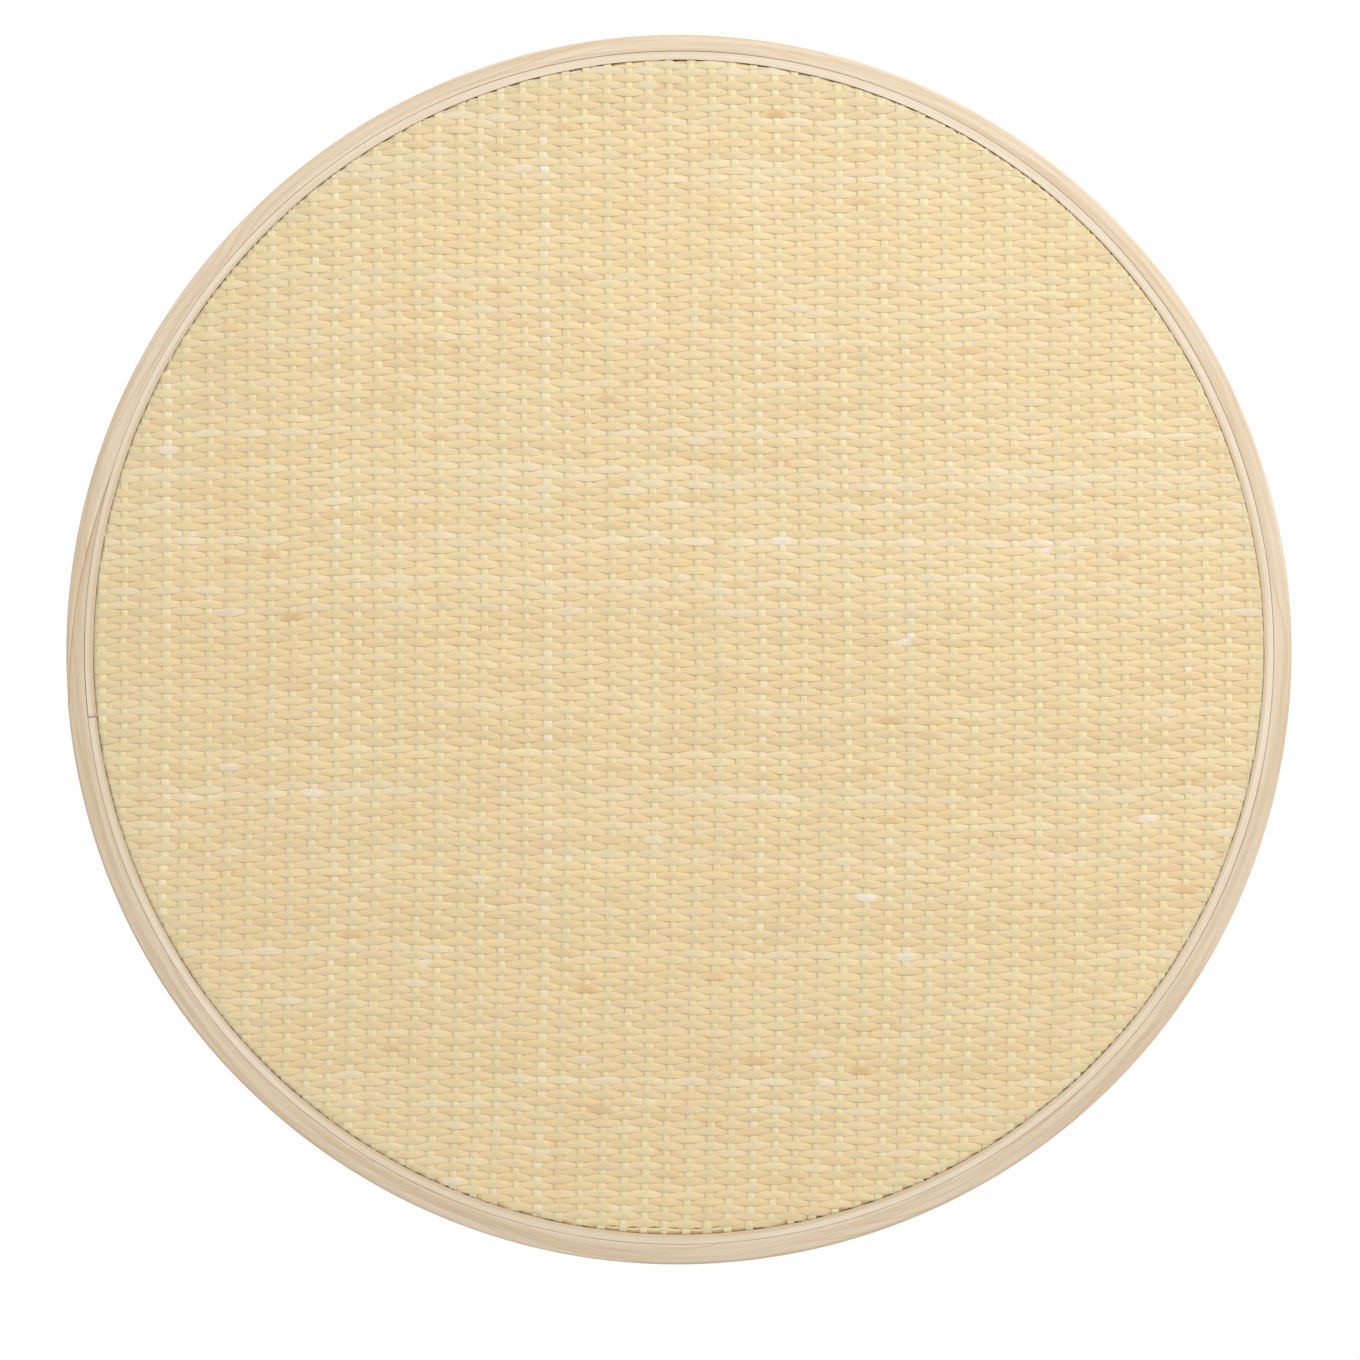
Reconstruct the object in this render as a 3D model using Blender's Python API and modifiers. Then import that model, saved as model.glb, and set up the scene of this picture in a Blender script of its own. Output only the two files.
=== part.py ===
"""A round winnowing basket: a woven bamboo mat held in three nested bent hoops.

The basket stands the right way up, with its opening towards +Z. The origin is at the middle of the
mat's flat belly, which it rests on. Metres throughout.

From the outside inwards the rim is: outer hoop, clamp hoop, the mat's turned-up edge, inner hoop.
Bamboo pegs run through all four. The outer and inner hoops close in a scarf joint, and the clamp
hoop in a butt joint.
"""

import math

import bmesh
import bpy
from mathutils import Vector

# Driving dimensions, each set by itself.
RIM_DIAMETER = 0.500
HOOP_HEIGHT = 0.036
OUTER_HOOP_THICKNESS = 0.0070
CLAMP_HOOP_THICKNESS = 0.0038
INNER_HOOP_THICKNESS = 0.0042
HOOP_EDGE_ROUNDING = 0.0009
CLAMP_EDGE_ROUNDING = 0.0011

MAT_THICKNESS = 0.0015
BELLY_DEPTH = 0.0042
BELLY_LAND_DIAMETER = 0.220
MAT_BEND_RADIUS = 0.0024
MAT_RECESS = 0.0007
MAT_TRIM_BELOW_RIM = 0.0012

PEG_COUNT = 16
PEG_DIAMETER = 0.0027
PEG_HEIGHT_ABOVE_EDGE = 0.020

# Woods: a name, a colour and a roughness each.
HOOP_WOOD = ("hoop_wood", (0.74, 0.62, 0.44), 0.55)
CLAMP_WOOD = ("clamp_wood", (0.81, 0.70, 0.53), 0.50)
SPLINT_BAMBOO = ("splint_bamboo", (0.80, 0.65, 0.39), 0.50)
PEG_BAMBOO = ("peg_bamboo", (0.66, 0.49, 0.27), 0.60)

# Clearances between pieces.
NESTING_GAP = 0.0004
MAT_GAP = 0.0003
PEG_GAP = 0.0003
PEG_END_RECESS = 0.0005
JOINT_GAP = 0.0004

# The hoops' end joints: where each one starts round the rim, and how long a scarf is for its depth.
OUTER_SCARF_START = math.radians(197.0)
INNER_SCARF_START = math.radians(30.0)
CLAMP_BUTT_ANGLE = math.radians(173.4)
SCARF_SLOPE = 6.0

# How finely round shapes are cut. The pegs fall on the middle of a hoop's facets.
HOOP_SIDES = 80
PEG_SIDES = 10
SWELL_STEPS = 6
BEND_STEPS = 3
CUTTER_OVERRUN = 0.010
MERGE_DISTANCE = 0.00005
SHARP_EDGE_ANGLE = math.radians(40.0)
FULL_TURN = 2.0 * math.pi
QUARTER_TURN = FULL_TURN / 4

# Places worked out from the sizes above.
OUTER_RADIUS = RIM_DIAMETER / 2
OUTER_BORE = OUTER_RADIUS - OUTER_HOOP_THICKNESS
CLAMP_OUTSIDE = OUTER_BORE - NESTING_GAP
CLAMP_BORE = CLAMP_OUTSIDE - CLAMP_HOOP_THICKNESS
MAT_OUTSIDE = CLAMP_BORE - MAT_GAP
INNER_OUTSIDE = MAT_OUTSIDE - MAT_THICKNESS - MAT_GAP
INNER_BORE = INNER_OUTSIDE - INNER_HOOP_THICKNESS

HOOP_LOW = BELLY_DEPTH
RIM_TOP = HOOP_LOW + HOOP_HEIGHT
MAT_TOP = RIM_TOP - MAT_TRIM_BELOW_RIM
BEND_LOW = HOOP_LOW + MAT_RECESS
INNER_LOW = BEND_LOW + MAT_BEND_RADIUS + MAT_GAP
PEG_LEVEL = HOOP_LOW + PEG_HEIGHT_ABOVE_EDGE


def clear_scene():
    """Removes whatever the scene holds."""
    for thing in list(bpy.data.objects):
        bpy.data.objects.remove(thing, do_unlink=True)


def new_collection(name, parent):
    """A collection inside another."""
    collection = bpy.data.collections.new(name)
    parent.children.link(collection)
    return collection


def plain_material(name, colour, roughness):
    """A Principled material of one colour, with no metal in it."""
    material = bpy.data.materials.new(name)
    material.use_nodes = True
    shader = material.node_tree.nodes["Principled BSDF"]
    shader.inputs["Base Color"].default_value = (*colour, 1.0)
    shader.inputs["Roughness"].default_value = roughness
    shader.inputs["Metallic"].default_value = 0.0
    return material


def object_from_bmesh(name, shape, collection, material=None):
    """Puts a finished bmesh into a new object."""
    mesh = bpy.data.meshes.new(name)
    shape.to_mesh(mesh)
    shape.free()
    thing = bpy.data.objects.new(name, mesh)
    collection.objects.link(thing)
    if material:
        mesh.materials.append(material)
    return thing


def profile_object(name, points, closed, collection, material):
    """A chain of edges through (radius, height) points, standing in the +X half of the XZ plane."""
    shape = bmesh.new()
    corners = [shape.verts.new((radius, 0.0, height)) for radius, height in points]
    for first, second in zip(corners, corners[1:]):
        shape.edges.new((first, second))
    if closed:
        shape.edges.new((corners[-1], corners[0]))
    return object_from_bmesh(name, shape, collection, material)


def turn_round_axis(thing):
    """Sweeps a profile once round the Z axis."""
    screw = thing.modifiers.new("turn", "SCREW")
    screw.axis = "Z"
    screw.angle = FULL_TURN
    screw.steps = HOOP_SIDES
    screw.render_steps = HOOP_SIDES
    screw.use_merge_vertices = True
    screw.merge_threshold = MERGE_DISTANCE


def round_edges(thing, width):
    """Takes the sharp corners off a turned hoop, and leaves its facets' own edges alone."""
    bevel = thing.modifiers.new("eased edges", "BEVEL")
    bevel.width = width
    bevel.segments = 1
    bevel.limit_method = "ANGLE"
    bevel.angle_limit = SHARP_EDGE_ANGLE
    bevel.use_clamp_overlap = True


def cut_with_object(thing, cutter):
    """Cuts one cutter's shape out of a piece."""
    boolean = thing.modifiers.new("joint", "BOOLEAN")
    boolean.operation = "DIFFERENCE"
    boolean.solver = "EXACT"
    boolean.object = cutter


def cut_with_collection(thing, cutters):
    """Cuts every shape of a collection out of a piece."""
    boolean = thing.modifiers.new("peg holes", "BOOLEAN")
    boolean.operation = "DIFFERENCE"
    boolean.solver = "EXACT"
    boolean.operand_type = "COLLECTION"
    boolean.collection = cutters


def make_cutter(name, shape, collection):
    """A wire-drawn helper that is left out of the finished object."""
    cutter = object_from_bmesh(name, shape, collection)
    cutter.hide_render = True
    cutter.display_type = "WIRE"
    return cutter


def radial_rod(radius, inner_end, outer_end, angle):
    """A rod along a spoke of the rim, at the pegs' level."""
    shape = bmesh.new()
    bmesh.ops.create_cone(
        shape,
        cap_ends=True,
        segments=PEG_SIDES,
        radius1=radius,
        radius2=radius,
        depth=outer_end - inner_end,
    )
    spoke = Vector((math.cos(angle), math.sin(angle), 0.0))
    turn = Vector((0.0, 0.0, 1.0)).rotation_difference(spoke).to_matrix()
    bmesh.ops.rotate(shape, verts=shape.verts, matrix=turn)
    middle = spoke * (inner_end + outer_end) / 2
    bmesh.ops.translate(shape, verts=shape.verts, vec=middle + Vector((0.0, 0.0, PEG_LEVEL)))
    return shape


def peg_angles():
    """The pegs' places round the rim, evenly spread and starting half a space round."""
    spacing = FULL_TURN / PEG_COUNT
    return [spacing / 2 + spacing * index for index in range(PEG_COUNT)]


def slot_cutter(name, start, end, collection):
    """A thin upright slab from one plan point to another, past both, taller than the hoops."""
    run = Vector((end[0] - start[0], end[1] - start[1], 0.0))
    shape = bmesh.new()
    bmesh.ops.create_cube(shape, size=1.0)
    size = (run.length + 2 * CUTTER_OVERRUN, JOINT_GAP, HOOP_HEIGHT + 2 * CUTTER_OVERRUN)
    bmesh.ops.scale(shape, verts=shape.verts, vec=size)
    turn = Vector((1.0, 0.0, 0.0)).rotation_difference(run.normalized()).to_matrix()
    bmesh.ops.rotate(shape, verts=shape.verts, matrix=turn)
    middle = Vector(((start[0] + end[0]) / 2, (start[1] + end[1]) / 2, (HOOP_LOW + RIM_TOP) / 2))
    bmesh.ops.translate(shape, verts=shape.verts, vec=middle)
    return make_cutter(name, shape, collection)


def plan_point(radius, angle):
    """A point of the plan, from its distance to the axis and its angle."""
    return (radius * math.cos(angle), radius * math.sin(angle))


def scarf_cutter(name, outside, bore, start_angle, collection):
    """A slab that crosses a hoop at a long slant, from its outer face to its bore."""
    run = SCARF_SLOPE * (outside - bore)
    end_angle = start_angle - run / outside
    return slot_cutter(name, plan_point(outside, end_angle), plan_point(bore, start_angle), collection)


def butt_cutter(name, outside, bore, angle, collection):
    """A slab straight across a hoop."""
    return slot_cutter(name, plan_point(bore, angle), plan_point(outside, angle), collection)


def make_hoop(name, outside, bore, low, rounding, joint, drills, collection, material):
    """A bent strip: a rectangle turned round the axis, its edges eased, drilled and cut at its joint."""
    corners = [(outside, RIM_TOP), (outside, low), (bore, low), (bore, RIM_TOP)]
    hoop = profile_object(name, corners, True, collection, material)
    turn_round_axis(hoop)
    round_edges(hoop, rounding)
    cut_with_collection(hoop, drills)
    cut_with_object(hoop, joint)
    return hoop


def mat_outline():
    """The mat's outer skin from the trimmed top edge down, round the bend and in to the axis.

    The belly is flat to its land's edge and then rises by a smooth S to the bend.
    """
    bend_centre_radius = MAT_OUTSIDE - MAT_BEND_RADIUS
    bend_centre_height = BEND_LOW + MAT_BEND_RADIUS
    points = [(MAT_OUTSIDE, MAT_TOP)]
    for step in range(BEND_STEPS):
        angle = -QUARTER_TURN * step / BEND_STEPS
        radius = bend_centre_radius + MAT_BEND_RADIUS * math.cos(angle)
        height = bend_centre_height + MAT_BEND_RADIUS * math.sin(angle)
        points.append((radius, height))
    land = BELLY_LAND_DIAMETER / 2
    for step in range(SWELL_STEPS):
        share = 1.0 - step / SWELL_STEPS
        rise = share * share * (2.0 - share)
        points.append((land + (bend_centre_radius - land) * share, BEND_LOW * rise))
    points.append((land, 0.0))
    points.append((0.0, 0.0))
    return points


def make_mat(drills, collection, material):
    """The woven mat as a thin dished sheet with its edge turned up between the hoops."""
    mat = profile_object("woven_mat", mat_outline(), False, collection, material)
    turn_round_axis(mat)
    wall = mat.modifiers.new("splints' depth", "SOLIDIFY")
    wall.thickness = MAT_THICKNESS
    wall.offset = -1.0
    wall.use_even_offset = True
    wall.use_rim = True
    cut_with_collection(mat, drills)
    return mat


def make_drills(collection):
    """The peg holes' cutters, longer than the rim is thick."""
    radius = PEG_DIAMETER / 2 + PEG_GAP
    for index, angle in enumerate(peg_angles(), start=1):
        shape = radial_rod(radius, INNER_BORE - CUTTER_OVERRUN, OUTER_RADIUS + CUTTER_OVERRUN, angle)
        make_cutter(f"peg_drill_{index:02d}", shape, collection)


def make_pegs(collection, material):
    """The bamboo pegs, trimmed just below the hoops' faces."""
    inner_end = INNER_BORE + PEG_END_RECESS
    outer_end = OUTER_RADIUS - PEG_END_RECESS
    for index, angle in enumerate(peg_angles(), start=1):
        shape = radial_rod(PEG_DIAMETER / 2, inner_end, outer_end, angle)
        peg = object_from_bmesh(f"hoop_peg_{index:02d}", shape, collection, material)
        peg.data.shade_smooth()
        peg.data.set_sharp_from_angle(angle=SHARP_EDGE_ANGLE)


def build():
    """Makes the whole basket."""
    clear_scene()
    root = bpy.context.scene.collection
    basket = new_collection("winnowing_basket", root)
    cutters = new_collection("cutters", root)
    drills = new_collection("peg_drills", cutters)
    make_drills(drills)

    hoop_wood = plain_material(*HOOP_WOOD)
    clamp_wood = plain_material(*CLAMP_WOOD)
    splint_bamboo = plain_material(*SPLINT_BAMBOO)
    peg_bamboo = plain_material(*PEG_BAMBOO)

    scarf = scarf_cutter("outer_scarf", OUTER_RADIUS, OUTER_BORE, OUTER_SCARF_START, cutters)
    make_hoop(
        "outer_hoop", OUTER_RADIUS, OUTER_BORE, HOOP_LOW, HOOP_EDGE_ROUNDING,
        scarf, drills, basket, hoop_wood,
    )
    butt = butt_cutter("clamp_butt", CLAMP_OUTSIDE, CLAMP_BORE, CLAMP_BUTT_ANGLE, cutters)
    make_hoop(
        "clamp_hoop", CLAMP_OUTSIDE, CLAMP_BORE, HOOP_LOW, CLAMP_EDGE_ROUNDING,
        butt, drills, basket, clamp_wood,
    )
    scarf = scarf_cutter("inner_scarf", INNER_OUTSIDE, INNER_BORE, INNER_SCARF_START, cutters)
    make_hoop(
        "inner_hoop", INNER_OUTSIDE, INNER_BORE, INNER_LOW, HOOP_EDGE_ROUNDING,
        scarf, drills, basket, hoop_wood,
    )
    make_mat(drills, basket, splint_bamboo)
    make_pegs(basket, peg_bamboo)


build()
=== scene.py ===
"""Looks of a round winnowing basket: split bamboo woven into a mat and gripped in bent wooden hoops.

The basket stands the right way up. +X runs along the narrow weavers and +Y along the wide stakes.
The camera looks straight up at the underside, which is the side that the mat swells towards.
"""

import math

import bpy
import numpy as np
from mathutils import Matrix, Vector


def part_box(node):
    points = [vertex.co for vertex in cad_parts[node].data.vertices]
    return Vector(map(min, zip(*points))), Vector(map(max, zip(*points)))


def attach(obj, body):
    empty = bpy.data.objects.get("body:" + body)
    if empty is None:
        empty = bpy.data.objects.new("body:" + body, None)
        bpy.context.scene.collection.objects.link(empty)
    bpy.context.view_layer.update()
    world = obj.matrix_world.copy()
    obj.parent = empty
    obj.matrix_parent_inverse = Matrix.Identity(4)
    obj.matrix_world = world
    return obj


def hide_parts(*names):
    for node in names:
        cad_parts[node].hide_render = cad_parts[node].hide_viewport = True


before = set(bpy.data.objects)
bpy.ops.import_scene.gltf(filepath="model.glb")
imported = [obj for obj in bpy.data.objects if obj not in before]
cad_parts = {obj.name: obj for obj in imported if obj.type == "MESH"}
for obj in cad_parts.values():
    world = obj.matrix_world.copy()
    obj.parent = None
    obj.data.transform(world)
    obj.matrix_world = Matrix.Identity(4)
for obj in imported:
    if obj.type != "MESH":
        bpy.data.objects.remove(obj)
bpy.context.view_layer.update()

# ---------------------------------------------------------------------------------------------------
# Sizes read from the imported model, in metres
# ---------------------------------------------------------------------------------------------------
RIM_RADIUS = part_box("outer_hoop")[1][0]
HOOP_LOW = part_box("outer_hoop")[0][2]
RIM_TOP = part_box("outer_hoop")[1][2]
CLAMP_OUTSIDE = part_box("clamp_hoop")[1][0]
MAT_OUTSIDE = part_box("woven_mat")[1][0]
MAT_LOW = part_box("woven_mat")[0][2]
MAT_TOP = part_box("woven_mat")[1][2]
INNER_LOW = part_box("inner_hoop")[0][2]
HOOP_HEIGHT = RIM_TOP - HOOP_LOW

# The rim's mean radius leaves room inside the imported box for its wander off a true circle.
RIM_MEAN = RIM_RADIUS - 0.0005
HOOP_BORE = RIM_MEAN - 0.0075
MAT_EDGE = MAT_OUTSIDE - 0.00005
INNER_HOOP_THICKNESS = 0.0042
FINE_GAP = 0.00004
BUTT_GAP = 0.00018
BUTT_STEP = 0.00014
SCARF_GAP = 0.00012
SCARF_FEATHER = 0.00012

# The splints. A stake swings up and down by STAKE_SWING, and the weavers make up the rest.
STAKE_PITCH = 0.00865
STAKE_START = -0.0009
STAKE_BREADTH = 0.0033
STAKE_DEPTH = 0.00045
STAKE_SWING = 0.00016
STAKE_SPACING_ERROR = 0.00030
WEAVER_PITCH = 0.002883
WEAVER_BREADTH = 0.00376
WEAVER_DEPTH = 0.00032
WEAVER_PINCH = 0.19
WEAVER_SPACING_ERROR = 0.00009

# The mat's dish. WALL_PRESS is the share of its depth that is left where it is gripped.
MAT_DEPTH = STAKE_DEPTH + 2 * WEAVER_DEPTH
BELLY_LAND = 0.085
BEND_RADIUS = 0.0003
MAT_RECESS = 0.0002
WALL_PRESS = 0.5
LOW_CLEARANCE = 0.00006
FOLD_HEIGHT = 0.00035
SWELL_HEIGHT = 0.0003
CREASE_HEIGHT = 0.0004
PRESSED_REACH = 0.004
FINE_WALL = 0.006

# The clamp hoop's lower inner edge is squeezed out over the mat's bend by its lip, which dies away
# over a small height. A narrow band of it by the mat is browned as painted shade of the crevice there.
CLAMP_LIP = 0.00075
CLAMP_LIP_HEIGHT = 0.00022
CLAMP_HALF_THICKNESS = 0.0020
CREVICE_DEPTH = RIM_RADIUS - MAT_EDGE
CREVICE_SHADE_REACH = 0.0014

# The hoops aren't quite concentric: each inner one sits a little further to -Y.
RIM_OFFSET = np.array([0.0, 0.00035])
CLAMP_OFFSET = np.array([0.00017, -0.00035])
MAT_OFFSET = np.array([0.00008, -0.00061])

# Where the hoops' strips end, round the rim.
OUTER_SCARF = (math.radians(175.0), math.radians(197.0))
INNER_SCARF = (math.radians(22.0), math.radians(34.0))
CLAMP_BUTT = math.radians(173.4)

# Floats and splints that stand out, each as its place along the splint's length, its place across
# and its strength.
PALE_FLOATS = (
    (0.147, -0.040, 0.95), (0.090, -0.002, 0.9), (-0.105, 0.128, 0.9), (0.191, 0.069, 0.8),
    (0.155, -0.036, 0.6), (-0.180, 0.157, 0.7), (0.060, 0.175, 0.6),
)
PALE_WEAVERS = ((0.06, -0.065, 0.30), (0.10, -0.043, 0.38), (0.02, -0.027, 0.28))
WARM_FLOATS = ((-0.032, 0.186, 0.8), (0.118, -0.120, 0.4))
WARM_STAKES = ((0.213, -0.046, 0.45),)
PALE_FLOAT_REACH = 0.004
WARM_FLOAT_REACH = 0.005
PALE_WEAVER_REACH = 0.200
WARM_STAKE_REACH = 0.014

# The weave is split into pieces of like size, at these shares of the way across it.
WEAVER_SPLIT = np.array([0.0, 0.26, 0.36, 0.455, 0.545, 0.64, 0.74, 1.0])
STAKE_SPLIT = np.array([0.0, 0.40, 0.60, 1.0])

# The stage.
WORLD_LIGHT = 0.60
LIGHTS = (
    ("key_below", (2.4, -2.5, -2.3), 1.7, 70.0),
    ("front_below", (0.5, -1.2, -1.5), 1.0, 8.2),
    ("key_above", (-1.3, -1.5, 2.2), 1.4, 50.0),
)
LENS = 85.0
FILM_WIDTH = 36.0
FRAME_WIDTH = 0.5521
FRAME_CENTRE = (0.00056, 0.01236)
FLOOR_REACH = 9.0
FLOOR_DROP = 0.0002

FULL_TURN = 2 * math.pi


# ---------------------------------------------------------------------------------------------------
# Meshes
# ---------------------------------------------------------------------------------------------------
def mesh_piece(name, points, quads, material, attributes, node):
    """Makes a shown piece from an array of points and one of quads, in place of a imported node.

    attributes maps a name to an array of three numbers for each point.
    """
    mesh = bpy.data.meshes.new(name)
    mesh.vertices.add(len(points))
    mesh.vertices.foreach_set("co", points.astype(np.float32).ravel())
    mesh.loops.add(quads.size)
    mesh.loops.foreach_set("vertex_index", quads.astype(np.int32).ravel())
    mesh.polygons.add(len(quads))
    mesh.polygons.foreach_set("loop_start", np.arange(0, quads.size, 4, dtype=np.int32))
    mesh.update(calc_edges=True)
    mesh.shade_smooth()
    for key, values in attributes.items():
        layer = mesh.attributes.new(key, "FLOAT_VECTOR", "POINT")
        layer.data.foreach_set("vector", values.astype(np.float32).ravel())
    mesh.validate()
    mesh.materials.append(material)
    piece = bpy.data.objects.new(name, mesh)
    bpy.context.scene.collection.objects.link(piece)
    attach(piece, "root")
    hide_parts(node)


def tube_quads(length, around):
    """Quads of a closed tube laid out as length rows of around points, with a fan of quads at each end."""
    row = np.arange(length - 1)[:, None] * around
    step = np.arange(around)[None, :]
    beside = (step + 1) % around
    sides = np.stack([row + step, row + beside, row + around + beside, row + around + step], axis=-1)
    fan = np.arange(around // 2 - 1)
    low = np.stack([fan, (-fan - 1) % around, around - fan - 2, fan + 1], axis=-1)
    high = low[:, ::-1] + (length - 1) * around
    return np.concatenate([sides.reshape(-1, 4), low, high])


def rim_wander(bearing):
    """How far the whole rim stands off a true circle: a little oval, and a little three-cornered."""
    return -0.00039 * np.cos(2 * bearing) - 0.00008 * np.sin(2 * bearing) + 0.00036 * np.sin(3 * bearing)


def waves(rng, where, wavelengths, height):
    """A slow wander: a sum of sine waves of the given lengths, each with its own chance phase."""
    total = np.zeros_like(where, dtype=float)
    for wavelength in wavelengths:
        phase, share = rng.uniform(0, FULL_TURN), rng.uniform(0.5, 1.0)
        total += share * np.sin(FULL_TURN * where / wavelength + phase)
    return total * height / math.sqrt(len(wavelengths))


# ---------------------------------------------------------------------------------------------------
# Materials
# ---------------------------------------------------------------------------------------------------
class Finish:
    """A Principled material that is put together node by node."""

    def __init__(self, name, roughness):
        self.material = bpy.data.materials.new(name)
        self.material.use_nodes = True
        self.tree = self.material.node_tree
        self.shader = self.tree.nodes["Principled BSDF"]
        self.shader.inputs["Roughness"].default_value = roughness
        self.shader.inputs["Specular IOR Level"].default_value = 0.35

    def let_light_in(self, weight, depth):
        """Lets some light sink in and scatter, red furthest."""
        self.shader.inputs["Subsurface Weight"].default_value = weight
        self.shader.inputs["Subsurface Radius"].default_value = (1.0, 0.92, 0.80)
        self.shader.inputs["Subsurface Scale"].default_value = depth

    def node(self, kind, settings=None, **inputs):
        """Adds a node, with its settings, and feeds its inputs from values or other nodes' outputs."""
        made = self.tree.nodes.new(kind)
        for key, value in (settings or {}).items():
            setattr(made, key, value)
        for key, value in inputs.items():
            self.feed(made.inputs[key.replace("_", " ")], value)
        return made

    def feed(self, socket, value):
        """Links another node's output to a socket, or sets its value."""
        if isinstance(value, bpy.types.NodeSocket):
            self.tree.links.new(value, socket)
        else:
            socket.default_value = value

    def attribute(self, name):
        """The three parts of a point attribute, as separate outputs."""
        source = self.node("ShaderNodeAttribute", {"attribute_name": name})
        parts = self.node("ShaderNodeSeparateXYZ", Vector=source.outputs["Vector"])
        return [parts.outputs[key] for key in "XYZ"]

    def math(self, operation, *values):
        """One sum on one, two or three values."""
        made = self.node("ShaderNodeMath", {"operation": operation})
        for socket, value in zip(made.inputs, values):
            self.feed(socket, value)
        return made.outputs[0]

    def vector(self, x, y, z):
        """Three values as one vector."""
        return self.node("ShaderNodeCombineXYZ", X=x, Y=y, Z=z).outputs[0]

    def noise(self, vector, scale=1.0, detail=2.0, roughness=0.5):
        """Cloudy noise, about 0 to 1."""
        made = self.node("ShaderNodeTexNoise", Vector=vector, Scale=scale, Detail=detail, Roughness=roughness)
        return made.outputs["Fac"]

    def ramp(self, value, *stops):
        """A smooth run through (place, brightness) stops."""
        made = self.node("ShaderNodeValToRGB", Fac=value)
        elements = made.color_ramp.elements
        made.color_ramp.interpolation = "EASE"
        while len(elements) < len(stops):
            elements.new(0.5)
        for element, (place, level) in zip(elements, stops):
            element.position = place
            element.color = (level, level, level, 1.0)
        return made.outputs["Color"]

    def blend(self, factor, first, second, kind="MIX"):
        """Two colours mixed by a factor."""
        made = self.node("ShaderNodeMix", {"data_type": "RGBA", "blend_type": kind})
        self.feed(made.inputs[0], factor)
        for socket, value in ((made.inputs[6], first), (made.inputs[7], second)):
            self.feed(socket, value if isinstance(value, bpy.types.NodeSocket) else (*value, 1.0))
        return made.outputs[2]

    def colour(self, value):
        """Sets what the surface's colour comes from."""
        self.feed(self.shader.inputs["Base Color"], value)

    def bump(self, height, distance, strength=1.0):
        """Raises the surface by a height pattern."""
        made = self.node("ShaderNodeBump", Height=height, Distance=distance, Strength=strength)
        self.feed(self.shader.inputs["Normal"], made.outputs["Normal"])


def splint_bamboo():
    """Split bamboo: straw yellow, with lengthwise fibres, paler inner wood and a few warm stains.

    The grain attribute holds the distance along the splint, the distance across it and a number of
    the splint's own. The tone attribute holds its lightness, its paleness and its warmth.
    """
    finish = Finish("splint_bamboo", 0.48)
    along, across, own = finish.attribute("grain")
    light, pale, warm = finish.attribute("tone")
    fibres = finish.noise(
        finish.vector(finish.math("MULTIPLY", along, 60.0), finish.math("MULTIPLY", across, 2600.0), own),
        detail=3.0, roughness=0.6,
    )
    clouds = finish.noise(
        finish.vector(finish.math("MULTIPLY", along, 70.0), finish.math("MULTIPLY", across, 300.0), own),
        detail=2.0,
    )
    straw = finish.blend(clouds, (0.812, 0.640, 0.360), (0.892, 0.733, 0.453))
    stained = finish.blend(warm, straw, (0.74, 0.47, 0.22))
    bleached = finish.blend(pale, stained, (0.93, 0.82, 0.70))
    streaks = finish.ramp(fibres, (0.30, 0.90), (0.52, 1.0))
    fibrous = finish.blend(0.75, bleached, streaks, "MULTIPLY")
    level = finish.vector(light, light, light)
    finish.colour(finish.blend(1.0, fibrous, level, "MULTIPLY"))
    finish.bump(fibres, 0.00005, 0.5)
    finish.let_light_in(0.45, 0.0005)
    return finish.material


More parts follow.
